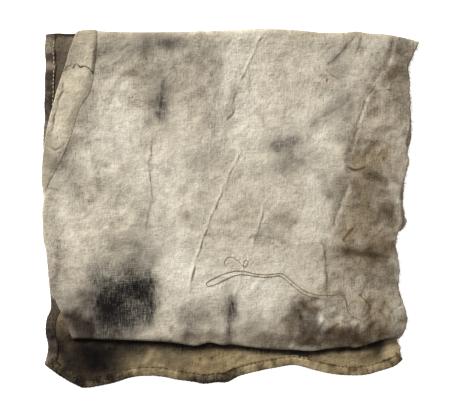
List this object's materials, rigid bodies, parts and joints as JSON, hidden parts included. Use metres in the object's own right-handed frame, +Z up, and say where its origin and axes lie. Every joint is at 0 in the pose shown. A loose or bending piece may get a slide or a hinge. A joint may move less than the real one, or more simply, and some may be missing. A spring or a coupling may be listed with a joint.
{
  "type": "folded cloth towel",
  "caption": "Soiled, crumpled cotton towel lying folded in layers, with stitched hems, a frayed raw edge, a turned-back margin and a loose thread.",
  "frame": {"origin": "middle of the folded towel's footprint, at the height of the surface it lies on", "axes": "+Z up, +Y from the bottom hem towards the top fold, +X towards the raw frayed edge"},
  "size_m": [0.3001, 0.2858, 0.0095],
  "materials": {
    "grimy_cloth": "soiled plain-woven cotton, matt, brown grey",
    "hem_cloth": "turned cotton hem, matt, ochre brown grime",
    "dark_hem_cloth": "turned cotton hem, matt, dark grey brown",
    "linen_cloth": "plain-woven cotton, matt, beige grey with dark oily smudges",
    "flap_cloth": "plain-woven cotton, matt, pale yellowish beige",
    "sewing_thread": "twisted cotton thread, matt brown",
    "pale_thread": "loose cotton yarn, matt, off-white",
    "red_fibre": "small red fibre, matt"
  },
  "bodies": {
    "back": {"back_panel": "grimy_cloth", "bottom_hem": "hem_cloth", "bottom_hem_stitches": "sewing_thread", "left_hem": "dark_hem_cloth", "left_hem_stitches": "pale_thread", "back_fray": "pale_thread", "top_fold": "linen_cloth"},
    "front": {"front_panel": "linen_cloth", "lower_fold": "linen_cloth", "flap_fold": "flap_cloth", "held_corner": "flap_cloth", "front_fray": "pale_thread", "loose_thread": "sewing_thread", "thread_curl": "sewing_thread", "red_fibre": "red_fibre"},
    "flap": {"flap_panel": "flap_cloth"},
    "tuck": {"tucked_panel": "linen_cloth", "end_hem": "linen_cloth", "end_hem_stitches": "sewing_thread", "tuck_fray": "pale_thread"}
  },
  "joints": [
    {"name": "front_unfold", "type": "hinge", "parent": "back", "child": "front", "pos_m": [0, 0.1386, 0.00475], "axis": [-1, 0, 0], "range_deg": [0, 180]},
    {"name": "tuck_unfold", "type": "hinge", "parent": "front", "child": "tuck", "pos_m": [0, -0.10742, 0.0052], "axis": [-1, 0, 0], "range_deg": [0, 180]},
    {"name": "flap_unfold", "type": "hinge", "parent": "front", "child": "flap", "pos_m": [-0.148, 0.038, 0.0073], "axis": [-0.2356, -0.9719, 0], "range_deg": [0, 180]}
  ],
  "couplings": [
    {"joint": "tuck_unfold", "follows": "front_unfold", "ratio": 1}
  ]
}
